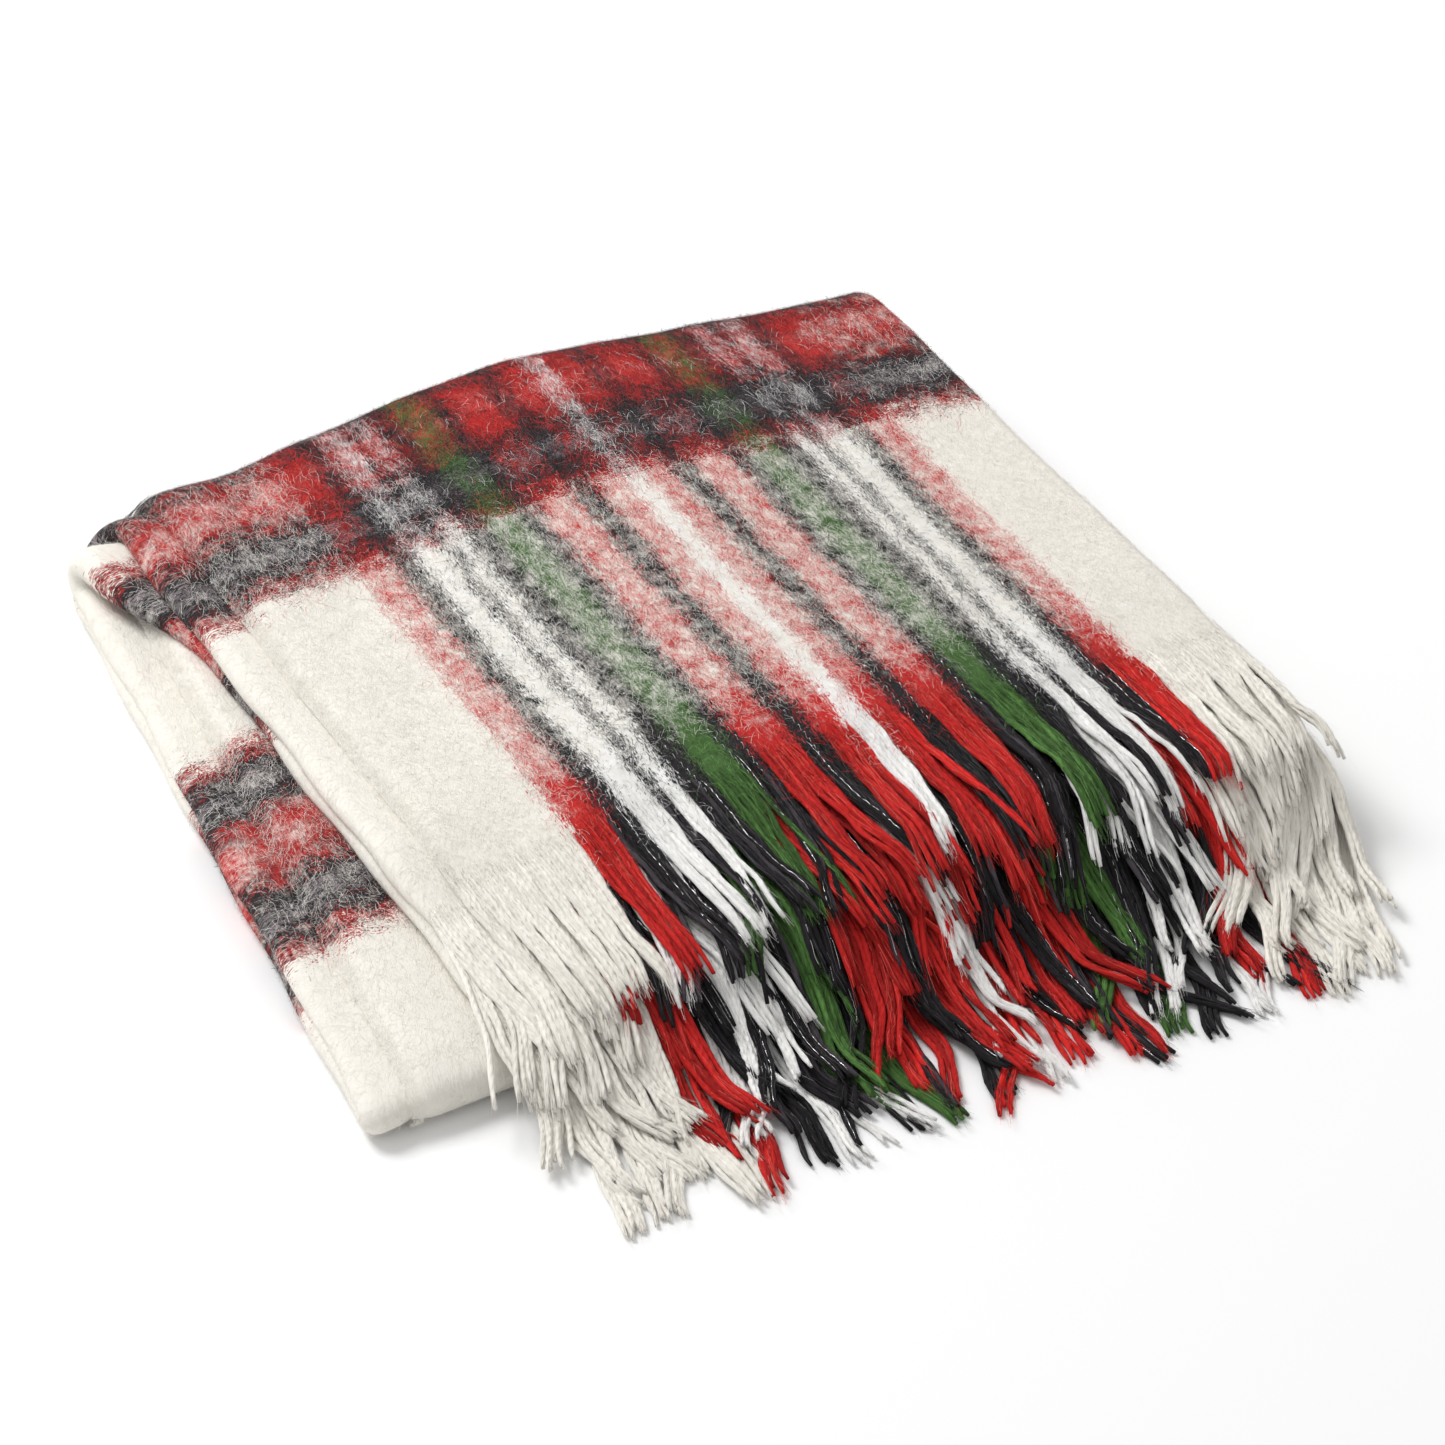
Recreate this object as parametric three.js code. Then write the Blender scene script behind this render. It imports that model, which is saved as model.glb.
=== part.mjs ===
// Folded throw blanket: one woven rectangle with a yarn fringe at both ends.
// It is folded in three across its width (top, middle and inner panel), and the strip is then folded
// in half twice along its length, so that both fringed ends lie at the front of the upper half.
// Millimetres. +X runs along the weft, +Z is up, the rounded ridge fold lies at +Y and the fringe at -Y.
import * as THREE from "three";

// Driving dimensions
const WIDTH = 1300; // the cloth across the warp
const LENGTH = 1700; // the cloth along the warp, without its fringe
const FRINGE = 100; // free warp yarn beyond each woven end
const CLOTH = 4; // thickness of the brushed cloth
const PITCH = 5.2; // one layer to the next in the folded pack
const TASSEL = 2.6; // thickness of a lock of fringe
const GAP = 0.6; // clearance between a lock and what it lies beside
const FIRST_RUN = 343; // top ply, from its woven end to the ridge fold
const DEPTH = 402; // ridge fold to front fold, between the centres of their bends
const EDGE_INSET = 14; // how far the top panel's selvedge stops short of the fold below it
const INNER_SHORT = 8; // how much shorter the inner panel is than the middle one
const OFFSET = 27; // how far the lower half's left side stands out at the ridge
const SKEW = 0.11; // how much further it stands out for each millimetre towards the front
const FAR_SIDE = 0.4; // share of that sideways slip at the right side
const UNWIND = 100; // length of the upper half's lower ply over which the slip is taken up
const BOW = 22; // how far the ridge bows back
const BOW_LEFT = 12; // how much less it does so at its left end
const RIDGE_LIFT = 0.12; // how much thicker the pack is at the ridge
const CORNER = 14; // how far the lower half's front left corner stands forward
const SPREAD = 0.03; // how much wider the fringe lies than the cloth, at its left end
const DRAW_IN = 0.06; // and how much narrower at its right end
const RIDGE_ZONE = 200; // how far in front of the ridge its lift begins
const BOW_ZONE = 130; // and its bow
const RIDGE_EDGE = 20; // both are full this far behind the ridge's axis
const SLUMP_START = 280; // the front left corner's slump, from here
const SLUMP_END = 430;
const THIN = 0.5; // how much thinner the overhanging layers get
const THIN_START = 20;
const THIN_END = 140;
const LANDING = 80; // length over which the overhanging end comes down to the floor
const CROWN = 1.08; // height of the pack at its middle, as a share of its nominal height
const CROWN_FALL = 0.26; // how much of that is lost towards the two sides
const SLUMP = 0.36; // how much the front left corner sinks, as a share of its height
const UPPER_STAGGER = 2.3; // lead of each lower layer at the upper fringed end, per mm of height
const LOWER_STAGGER = 1.5; // the same at the lower fringed end
const COLUMNS = 12; // facets across one panel

// Sizes that follow from these
const PLY = 3 * PITCH;
const UNDERSIDE = PLY / 2 - PITCH - CLOTH / 2; // nominal height of the face that the pack lies on
const OUTER_BEND = 1.5 * PLY;
const INNER_BEND = PLY / 2;
const MIDDLE = (WIDTH - 1.5 * Math.PI * PITCH + EDGE_INSET + INNER_SHORT) / 3;
const HALF = MIDDLE / 2;
const TOP_PANEL = MIDDLE - EDGE_INSET;
const RIGHT_FOLD = Math.PI * PITCH;
const LEFT_FOLD = RIGHT_FOLD / 2;
const REPEAT = WIDTH / 3;
const TOP = [0, TOP_PANEL];
const MIDST = [TOP_PANEL + RIGHT_FOLD, MIDDLE];
const INNER = [TOP_PANEL + RIGHT_FOLD + MIDDLE + LEFT_FOLD, MIDDLE - INNER_SHORT];
const LAST_RUN = LENGTH - FIRST_RUN - 2 * DEPTH - Math.PI * (OUTER_BEND + 2 * INNER_BEND);

// One half of the plaid's repeat, from the edge of a panel to its middle: yarn and width.
const HALF_SETT = [
  ["cream", 63],
  ["red", 17.5],
  ["black", 11.8],
  ["white", 14.2],
  ["black", 27.8],
  ["green", 16.4],
  ["black", 10.5],
  ["red", 21.2],
  ["black", 13],
  ["red", 14.9],
  ["white", 6.3],
];
// The same half sett as broader locks, named after the yarn that fills most of each.
const HALF_LOCKS = [
  ["cream", 63],
  ["white", 57.7],
  ["green", 40.5],
  ["red", 55.4],
];
const YARN = {
  cream: [0xe6e2d3, 0.95],
  red: [0xcd2823, 0.9],
  black: [0x231e20, 0.9],
  white: [0xf2f0ee, 0.95],
  green: [0x3c642d, 0.9],
};

const smoothstep = THREE.MathUtils.smoothstep;

// Where the folded strip's cross-section puts a point of the flat cloth: x across the strip and
// height over the strip's middle. depth is the distance from the cloth's own middle to that point.
function acrossStrip(u, depth) {
  let s = u;
  if (s < TOP_PANEL) return { x: HALF - TOP_PANEL + s, height: PITCH + depth };
  s -= TOP_PANEL;
  if (s < RIGHT_FOLD) {
    const r = PITCH + depth;
    return { x: HALF + r * Math.sin(s / PITCH), height: r * Math.cos(s / PITCH) };
  }
  s -= RIGHT_FOLD;
  if (s < MIDDLE) return { x: HALF - s, height: -PITCH - depth };
  s -= MIDDLE;
  if (s < LEFT_FOLD) {
    const r = PITCH / 2 + depth;
    const turn = (2 * s) / PITCH;
    return { x: -HALF - r * Math.sin(turn), height: -PITCH / 2 - r * Math.cos(turn) };
  }
  return { x: s - LEFT_FOLD - HALF, height: depth };
}

// A point of the strip's middle line on a flat ply, and which way its top panel faces.
const flat = (y, plies, side) => ({ y, z: plies * PLY, ny: 0, nz: side });

// A point of the strip's middle line on a round fold.
const bend = (y, plies, r, angle, side) => ({
  y: y + r * Math.cos(angle),
  z: plies * PLY + r * Math.sin(angle),
  ny: side * Math.cos(angle),
  nz: side * Math.sin(angle),
});

// The strip's way through the pack, from the fringed end on top to the one below it.
const RUNS = [
  [FIRST_RUN, (s) => flat(s - FIRST_RUN, 3.5, 1)],
  [Math.PI * OUTER_BEND, (s) => bend(0, 2, OUTER_BEND, Math.PI / 2 - s / OUTER_BEND, 1)],
  [DEPTH, (s) => flat(-s, 0.5, -1)],
  [Math.PI * INNER_BEND, (s) => bend(-DEPTH, 1, INNER_BEND, -Math.PI / 2 - s / INNER_BEND, 1)],
  [DEPTH, (s) => flat(s - DEPTH, 1.5, 1)],
  [Math.PI * INNER_BEND, (s) => bend(0, 2, INNER_BEND, s / INNER_BEND - Math.PI / 2, -1)],
  [Infinity, (s) => flat(-s, 2.5, -1)],
];
const RIDGE_END = FIRST_RUN + Math.PI * OUTER_BEND;
const LAST_START = LENGTH - LAST_RUN;

function alongStrip(v) {
  let s = v;
  for (const [length, place] of RUNS) {
    if (s <= length) return place(s);
    s -= length;
  }
}

// Layers that lie lower at a fringed end reach further forward there.
function staggered(v, height) {
  const upper = THREE.MathUtils.clamp(1 - v / FIRST_RUN, 0, 1);
  const lower = THREE.MathUtils.clamp((v - LAST_START) / LAST_RUN, 0, 1);
  return v + height * (UPPER_STAGGER * upper + LOWER_STAGGER * lower);
}

// How much of a ply at v belongs to the lower half, which lies askew under the upper one.
function lowness(v) {
  const unwound = smoothstep(v, LAST_START - Math.PI * INNER_BEND, LAST_START + UNWIND);
  return smoothstep(v, FIRST_RUN, RIDGE_END) * (1 - unwound);
}

// How the pack settles: the lower half stands out to the left, the ridge bows back, the overhanging
// end comes down to the floor, and the sides and the front left corner are pressed flatter than the
// middle. The underside stays flat.
function settled({ x, y, z }, low) {
  const reach = Math.max(0, -y);
  const ahead = reach - DEPTH;
  const leftness = THREE.MathUtils.clamp((HALF - x) / (2 * HALF), 0, 1);
  const slip = (OFFSET + SKEW * reach) * (FAR_SIDE + (1 - FAR_SIDE) * leftness);
  const wider = x < 0 ? SPREAD : -DRAW_IN;
  const newX = x * (1 + wider * smoothstep(ahead, 0, FRINGE)) - low * slip;
  const corner = CORNER * low * smoothstep(reach, DEPTH / 2, DEPTH) * leftness ** 2;
  const bow = (BOW - BOW_LEFT * smoothstep(-x, 0, HALF)) * smoothstep(y, -BOW_ZONE, RIDGE_EDGE);
  const fall = smoothstep(ahead, 0, LANDING);
  const thin = 1 - THIN * smoothstep(ahead, THIN_START, THIN_END);
  const landed = z > 2 * PLY ? 2 * PLY * (1 - fall) + (z - 2 * PLY) * thin : z;
  const height = landed - UNDERSIDE;
  const slump = SLUMP * smoothstep(reach, SLUMP_START, SLUMP_END);
  const sunk = (slump * leftness ** 2 * height) / (4 * PLY);
  const crown = CROWN - CROWN_FALL * smoothstep(Math.abs(newX) / HALF, 0, 1);
  const lift = 1 + RIDGE_LIFT * smoothstep(y, -RIDGE_ZONE, RIDGE_EDGE);
  return new THREE.Vector3(newX, y - corner + bow, height * (1 - sunk) * crown * lift);
}

function folded(u, v, depth) {
  const { x, height } = acrossStrip(u, depth);
  const along = staggered(v, acrossStrip(u, 0).height);
  const { y, z, ny, nz } = alongStrip(along);
  return settled({ x, y: y + ny * height, z: z + nz * height }, lowness(along));
}

// Stations from start on, a list of [length, steps] runs.
function stations(start, runs) {
  const list = [start];
  for (const [length, steps] of runs)
    for (let i = 1, from = list.at(-1); i <= steps; i++) list.push(from + (length * i) / steps);
  return list;
}

// A closed sheet: a box whose corners are put at the stations and then folded into place.
function sheet(name, us, vs, thickness, yarn) {
  const geometry = new THREE.BoxGeometry(1, 1, 1, us.length - 1, 1, vs.length - 1);
  const position = geometry.getAttribute("position");
  for (let i = 0; i < position.count; i++) {
    const u = us[Math.round((position.getX(i) + 0.5) * (us.length - 1))];
    const v = vs[Math.round((0.5 - position.getZ(i)) * (vs.length - 1))];
    const point = folded(u, v, position.getY(i) * thickness);
    position.setXYZ(i, point.x, point.y, point.z);
  }
  geometry.computeVertexNormals();
  const [color, roughness] = YARN[yarn];
  const material = new THREE.MeshStandardMaterial({ color, roughness, metalness: 0 });
  const mesh = new THREE.Mesh(geometry, material);
  mesh.name = name;
  return mesh;
}

function cloth() {
  const column = MIDDLE / COLUMNS;
  const us = stations(0, [
    [column - EDGE_INSET, 1],
    [MIDDLE - column, COLUMNS - 1],
    [RIGHT_FOLD, 4],
    [MIDDLE, COLUMNS],
    [LEFT_FOLD, 4],
    [MIDDLE - column, COLUMNS - 1],
    [column - INNER_SHORT, 1],
  ]);
  const overhang = LAST_RUN - DEPTH;
  const vs = stations(0, [
    [FIRST_RUN, 8],
    [Math.PI * OUTER_BEND, 8],
    [DEPTH, 7],
    [Math.PI * INNER_BEND, 5],
    [DEPTH, 7],
    [Math.PI * INNER_BEND, 5],
    [DEPTH, 7],
    [overhang, 4],
  ]);
  return sheet("woven_cloth", us, vs, CLOTH, "cream");
}

// The locks of one fringe row. repeat says which of the cloth's three repeats the row belongs to,
// and its panel of the folded strip starts at edge and is width wide.
function fringeRow(row, repeat, [edge, width], atStart, halfPattern) {
  const sides = halfPattern.slice(0, -1);
  const [middleYarn, middleWidth] = halfPattern.at(-1);
  const pattern = [...sides, [middleYarn, 2 * middleWidth], ...sides.reverse()];
  const count = {};
  const locks = [];
  let u = repeat * REPEAT;
  for (const [yarn, wide] of pattern) {
    const from = Math.max(u, edge) + GAP;
    const to = Math.min(u + wide, edge + width) - GAP;
    u += wide;
    count[yarn] = (count[yarn] ?? 0) + 1;
    const name = `fringe_${row}_${yarn}_${count[yarn]}`;
    const us = stations(from, [[to - from, Math.ceil((to - from) / 16)]]);
    const vs = stations(atStart ? -FRINGE : LENGTH + GAP, [[FRINGE - GAP, 10]]);
    locks.push(sheet(name, us, vs, TASSEL, yarn));
  }
  return locks;
}

const throwBlanket = new THREE.Group();
throwBlanket.add(
  cloth(),
  ...fringeRow("upper_top", 0, TOP, true, HALF_SETT),
  ...fringeRow("upper_inner", 2, INNER, true, HALF_LOCKS),
  ...fringeRow("upper_middle", 1, MIDST, true, HALF_LOCKS),
  ...fringeRow("lower_middle", 1, MIDST, false, HALF_LOCKS),
  ...fringeRow("lower_inner", 2, INNER, false, HALF_LOCKS),
  ...fringeRow("lower_top", 0, TOP, false, HALF_LOCKS),
);

// The origin is the middle of the footprint, on the surface the throw lies on.
const box = new THREE.Box3().setFromObject(throwBlanket, true);
const middle = box.getCenter(new THREE.Vector3());
throwBlanket.position.set(-middle.x, -middle.y, -box.min.z);

export default throwBlanket;
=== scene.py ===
"""Folded throw blanket: a brushed plaid cloth with a yarn fringe at both ends, folded in three across
its width and then twice along its length. Everything is in metres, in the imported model's frame."""

import math

import bpy
import numpy as np
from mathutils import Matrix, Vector


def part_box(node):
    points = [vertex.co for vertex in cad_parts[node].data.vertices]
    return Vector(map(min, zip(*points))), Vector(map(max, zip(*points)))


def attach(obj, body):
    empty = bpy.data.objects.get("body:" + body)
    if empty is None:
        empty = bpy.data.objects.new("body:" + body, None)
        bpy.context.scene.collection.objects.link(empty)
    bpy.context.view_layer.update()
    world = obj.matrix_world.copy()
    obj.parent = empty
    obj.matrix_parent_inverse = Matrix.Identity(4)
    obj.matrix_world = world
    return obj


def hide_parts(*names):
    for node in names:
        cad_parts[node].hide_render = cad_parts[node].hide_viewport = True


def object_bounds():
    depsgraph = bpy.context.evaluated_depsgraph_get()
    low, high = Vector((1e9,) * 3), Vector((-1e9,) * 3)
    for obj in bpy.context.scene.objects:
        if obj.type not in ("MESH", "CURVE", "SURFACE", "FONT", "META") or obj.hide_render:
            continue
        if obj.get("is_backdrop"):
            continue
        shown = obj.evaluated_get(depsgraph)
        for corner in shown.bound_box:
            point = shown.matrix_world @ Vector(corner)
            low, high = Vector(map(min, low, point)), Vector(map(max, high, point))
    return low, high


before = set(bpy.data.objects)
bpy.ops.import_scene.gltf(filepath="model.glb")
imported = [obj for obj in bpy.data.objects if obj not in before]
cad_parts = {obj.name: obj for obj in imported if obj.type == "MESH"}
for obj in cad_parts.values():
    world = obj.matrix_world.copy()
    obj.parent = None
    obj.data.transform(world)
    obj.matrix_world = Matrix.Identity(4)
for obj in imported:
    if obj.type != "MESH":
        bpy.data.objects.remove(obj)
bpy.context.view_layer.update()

# The flat cloth
WIDTH = 1.300
LENGTH = 1.700
FRINGE = 0.100
CLOTH = 0.004
REPEAT = WIDTH / 3

# The folded pack: the spacing of its layers, its runs from the ridge, and how far each edge stands in
PITCH = 0.0052
FIRST_RUN = 0.343
DEPTH = 0.402
EDGE_INSET = 0.014
INNER_SHORT = 0.008
OFFSET = 0.027
SKEW = 0.11
FAR_SIDE = 0.4
BOW = 0.022
BOW_LEFT = 0.012
RIDGE_LIFT = 0.12
UNWIND = 0.100
CORNER = 0.014
SPREAD = 0.03
DRAW_IN = 0.06
LANDING = 0.080
THIN = 0.5
THIN_FROM = (0.02, 0.14)
CROWN = 1.08
CROWN_FALL = 0.26
SLUMP = 0.36
SLUMP_FROM = (0.28, 0.43)
LUMPS = 0.022
RIDGE_ZONE = 0.2
BOW_ZONE = 0.13
RIDGE_EDGE = 0.02
UPPER_STAGGER = 2.3
LOWER_STAGGER = 1.5
END_THIN = 0.42
SELVEDGE_SWELL = 0.0046
FOLD_SWELL = 0.0032

PLY = 3 * PITCH
UNDERSIDE = PLY / 2 - PITCH - CLOTH / 2
OUTER_BEND = 1.5 * PLY
INNER_BEND = PLY / 2
MIDDLE = (WIDTH - 1.5 * math.pi * PITCH + EDGE_INSET + INNER_SHORT) / 3
HALF = MIDDLE / 2
TOP_PANEL = MIDDLE - EDGE_INSET
RIGHT_FOLD = math.pi * PITCH
LEFT_FOLD = RIGHT_FOLD / 2
LEFT_EDGE = TOP_PANEL + RIGHT_FOLD + MIDDLE + LEFT_FOLD / 2
LAST_RUN = LENGTH - FIRST_RUN - 2 * DEPTH - math.pi * (OUTER_BEND + 2 * INNER_BEND)
RUNS = (FIRST_RUN, math.pi * OUTER_BEND, DEPTH, math.pi * INNER_BEND, DEPTH, math.pi * INNER_BEND)
MARKS = np.cumsum((0,) + RUNS)

# The plaid: half of the warp's repeat from a panel's edge to its middle, and half of a weft band
HALF_SETT = (
    ("cream", 61.5), ("red", 17.1), ("black", 11.5), ("white", 13.9), ("black", 5.9),
    ("white", 7.7), ("black", 13.6), ("green", 16.0), ("black", 10.3), ("red", 20.7),
    ("black", 12.7), ("red", 14.5), ("white", 6.3),
)
HALF_BAND = (
    ("crimson", 11.0), ("black", 15.0), ("grey", 10.0), ("black", 16.0), ("crimson", 19.0), ("rose", 5.0),
)
HALF_BAND_WIDTH = sum(wide for _, wide in HALF_BAND) / 1000
FIRST_BAND = 0.325
BAND_REPEAT = 0.345
BANDS = 4

# Yarn colours, linear
YARN = {
    "cream": (0.83, 0.80, 0.735),
    "red": (0.54, 0.018, 0.016),
    "black": (0.014, 0.012, 0.014),
    "white": (0.86, 0.85, 0.83),
    "green": (0.060, 0.138, 0.032),
}
BLEND = {**YARN, "grey": (0.25, 0.21, 0.22), "crimson": (0.44, 0.016, 0.015), "rose": (0.60, 0.12, 0.11)}
COVER = {"black": 0.30, "crimson": 0.15, "grey": 0.16, "rose": 0.08}


def smooth(x, low, high):
    """0 below low, 1 above high, and an even curve between."""
    t = np.clip((x - low) / (high - low), 0, 1)
    return t * t * (3 - 2 * t)


def across_strip(u, depth):
    """x and height over the strip's middle of a point of the flat cloth, in the strip's section."""
    right = u - TOP_PANEL
    middle = right - RIGHT_FOLD
    left = middle - MIDDLE
    inner = left - LEFT_FOLD
    r = PITCH + depth
    q = PITCH / 2 + depth
    where = [right < 0, middle < 0, left < 0, inner < 0]
    x = np.select(
        where,
        [HALF + right, HALF + r * np.sin(right / PITCH), HALF - middle,
         -HALF - q * np.sin(2 * left / PITCH)],
        inner - HALF,
    )
    height = np.select(
        where,
        [PITCH + depth, r * np.cos(right / PITCH), -PITCH - depth,
         -PITCH / 2 - q * np.cos(2 * left / PITCH)],
        depth,
    )
    return x, height


def along_strip(v):
    """The strip's middle line: y, z and the direction that its top panel faces."""
    s = [v - mark for mark in MARKS]
    one = np.ones_like(v)
    where = [v <= mark for mark in MARKS[1:]]
    outer = math.pi / 2 - s[1] / OUTER_BEND
    front = -math.pi / 2 - s[3] / INNER_BEND
    inner = s[5] / INNER_BEND - math.pi / 2
    y = np.select(
        where,
        [s[0] - FIRST_RUN, OUTER_BEND * np.cos(outer), -s[2], INNER_BEND * np.cos(front) - DEPTH,
         s[4] - DEPTH, INNER_BEND * np.cos(inner)],
        -s[6],
    )
    z = np.select(
        where,
        [3.5 * PLY * one, 2 * PLY + OUTER_BEND * np.sin(outer), 0.5 * PLY * one,
         PLY + INNER_BEND * np.sin(front), 1.5 * PLY * one, 2 * PLY + INNER_BEND * np.sin(inner)],
        2.5 * PLY * one,
    )
    ny = np.select(where, [0 * one, np.cos(outer), 0 * one, np.cos(front), 0 * one, -np.cos(inner)], 0 * one)
    nz = np.select(where, [one, np.sin(outer), -one, np.sin(front), one, -np.sin(inner)], -one)
    return y, z, ny, nz


def settled(x, y, z, low):
    """How the pack settles: the lower half lies askew, the overhang comes down to the floor, and the
    sides and the front left corner are pressed flat. The underside stays flat."""
    reach = np.maximum(0, -y)
    ahead = reach - DEPTH
    leftness = np.clip((HALF - x) / (2 * HALF), 0, 1)
    lean = (OFFSET + SKEW * reach) * (FAR_SIDE + (1 - FAR_SIDE) * leftness)
    wider = np.where(x < 0, SPREAD, -DRAW_IN)
    new_x = x * (1 + wider * smooth(ahead, 0, FRINGE)) - low * lean
    new_y = y - CORNER * low * smooth(reach, DEPTH / 2, DEPTH) * leftness**2
    new_y = new_y + smooth(y, -BOW_ZONE, RIDGE_EDGE) * (BOW - BOW_LEFT * smooth(-x, 0, HALF))
    fall = smooth(ahead, 0, LANDING)
    thin = 1 - THIN * smooth(ahead, *THIN_FROM)
    new_z = np.where(z > 2 * PLY, 2 * PLY * (1 - fall) + (z - 2 * PLY) * thin, z)
    new_z = new_z - UNDERSIDE
    slump = SLUMP * smooth(reach, *SLUMP_FROM) * leftness**2 * new_z / (4 * PLY)
    crown = CROWN - CROWN_FALL * smooth(np.abs(new_x) / HALF, 0, 1)
    lift = 1 + RIDGE_LIFT * smooth(y, -RIDGE_ZONE, RIDGE_EDGE)
    across = np.sin(new_x * 47 + 1.3 * np.sin(new_y * 31))
    lumps = 1 + LUMPS * across * np.sin(new_y * 38 + 1.7 * np.sin(new_x * 29))
    return np.stack([new_x, new_y, new_z * (1 - slump) * crown * lift * lumps], -1)


def folded(u, v, depth):
    """Where the folded pack puts a point of the flat cloth, u across it and v along it."""
    u, v, depth = np.broadcast_arrays(*(np.asarray(a, float) for a in (u, v, depth)))
    x, height = across_strip(u, depth)
    level = across_strip(u, 0 * depth)[1]
    upper = np.clip(1 - v / FIRST_RUN, 0, 1)
    lower = np.clip((v - LENGTH + LAST_RUN) / LAST_RUN, 0, 1)
    v = v + level * (UPPER_STAGGER * upper + LOWER_STAGGER * lower)
    y, z, ny, nz = along_strip(v)
    low = smooth(v, MARKS[1], MARKS[2]) * (1 - smooth(v, MARKS[5], MARKS[6] + UNWIND))
    return settled(x, y + ny * height, z + nz * height, low)


def stations(runs):
    """The places of grid lines along runs, each given as (length, about how far apart)."""
    parts = [np.zeros(1)]
    for length, step in runs:
        count = max(1, round(length / step))
        parts.append(parts[-1][-1] + length * np.arange(1, count + 1) / count)
    return np.concatenate(parts)


def add_flat(mesh, flat):
    """The UV map that holds each point's place on the flat cloth, or round and along a yarn."""
    layer = mesh.uv_layers.new(name="flat")
    corner = np.empty(len(mesh.loops), int)
    mesh.loops.foreach_get("vertex_index", corner)
    layer.data.foreach_set("uv", flat.reshape(-1, 2)[corner].ravel())


def link(name, mesh):
    """A mesh as an object of the scene, shaded smooth."""
    mesh.shade_smooth()
    piece = bpy.data.objects.new(name, mesh)
    bpy.context.scene.collection.objects.link(piece)
    return piece


def grid_faces(rows, columns, start=0):
    """The quads of a grid of points."""
    i, j = np.meshgrid(np.arange(rows - 1), np.arange(columns - 1), indexing="ij")
    a = start + i * columns + j
    return np.stack([a, a + 1, a + columns + 1, a + columns], -1).reshape(-1, 4)


def puff(u, v):
    """How far the outer face swells: along the selvedge, where the top panel faces up, and round the
    left fold."""
    up = 1 - smooth(v, MARKS[2] - 0.03, MARKS[2]) * (1 - smooth(v, MARKS[3] + 0.012, MARKS[4] + 0.01))
    up = up * (1 - smooth(v, MARKS[5] - 0.02, MARKS[5] + 0.02))
    selvedge = smooth(u, 0, 0.009) * (1 - smooth(u, 0.012, 0.055))
    fold = 1 - smooth(np.abs(u - LEFT_EDGE), 0.006, 0.030)
    fold = fold * (0.9 + 0.5 * np.sin(v / 0.045 + 1) * np.sin(v / 0.021))
    below = smooth(v, MARKS[3], MARKS[4])
    end = smooth(np.minimum(v, LENGTH - v), 0.005, 0.06)
    return (SELVEDGE_SWELL * selvedge * up * (1 + 0.5 * below) + FOLD_SWELL * fold) * end


def cloth_mesh():
    """The whole sheet as one closed body, folded."""
    us = stations([
        (0.060, 0.0025), (TOP_PANEL - 0.060, 0.005), (RIGHT_FOLD, 0.0021),
        (MIDDLE - 0.032, 0.016), (0.032, 0.004), (LEFT_FOLD, 0.0014),
        (0.032, 0.004), (MIDDLE - INNER_SHORT - 0.032, 0.016),
    ])
    vs = stations([
        (0.012, 0.0015), (FIRST_RUN - 0.012, 0.005), (RUNS[1], 0.004), (DEPTH, 0.010), (RUNS[3], 0.002),
        (DEPTH, 0.007), (RUNS[5], 0.003), (LAST_RUN - 0.012, 0.010), (0.012, 0.0015),
    ])
    u, v = np.meshgrid(us, vs, indexing="ij")
    side = np.minimum(u, WIDTH - u)
    end = np.minimum(v, LENGTH - v)
    full = np.sqrt(0.04 + 0.96 * smooth(side, 0, 0.012)) * np.sqrt(0.1 + 0.9 * smooth(end, 0, 0.003))
    full = full * (1 - END_THIN * (1 - smooth(end, 0, 0.05)))
    points = np.stack([folded(u, v, CLOTH * (full - 0.5) + puff(u, v)), folded(u, v, -CLOTH / 2)])
    flat = np.stack([np.stack([u, v], -1)] * 2)
    rows, columns = u.shape
    other = rows * columns
    top = grid_faces(rows, columns)
    bottom = grid_faces(rows, columns, other)[:, ::-1]
    index = np.arange(other).reshape(rows, columns)
    loop = np.concatenate([index[0, :-1], index[:-1, -1], index[-1, :0:-1], index[:0:-1, 0]])
    after = np.roll(loop, -1)
    rim = np.stack([after, loop, loop + other, after + other], -1)
    return points, np.concatenate([top, bottom, rim]), flat


def offset_of(points):
    """What moves the fold map's cloth onto the frame's: centred on it, with the same underside."""
    low, high = (np.array(corner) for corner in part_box("woven_cloth"))
    own_low = points.reshape(-1, 3).min(0)
    own_high = points.reshape(-1, 3).max(0)
    offset = (low + high) / 2 - (own_low + own_high) / 2
    offset[2] = low[2] - own_low[2]
    return offset


CLOTH_POINTS, CLOTH_FACES, CLOTH_FLAT = cloth_mesh()
OFFSET_MADE = offset_of(CLOTH_POINTS)


def place(points):
    """Points of the fold map in the frame."""
    return points + OFFSET_MADE


def make_cloth():
    mesh = bpy.data.meshes.new("plaid_cloth")
    mesh.from_pydata(place(CLOTH_POINTS).reshape(-1, 3).tolist(), [], CLOTH_FACES[:, ::-1].tolist())
    add_flat(mesh, CLOTH_FLAT)
    mesh.materials.append(cloth_material())
    piece = link("plaid_cloth", mesh)
    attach(piece, "root")
    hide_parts("woven_cloth")
    return piece


def plain_material(name, colour):
    """A matt material of one colour."""
    material = bpy.data.materials.new(name)
    material.use_nodes = True
    shader = material.node_tree.nodes["Principled BSDF"]
    shader.inputs["Base Color"].default_value = (*colour, 1)
    shader.inputs["Roughness"].default_value = 0.9
    return material


# How much of each warp yarn shows, over the weft
WARP_SHARE = {"cream": 0.28, "white": 0.45, "red": 0.48, "black": 0.74, "green": 0.64}


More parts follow.
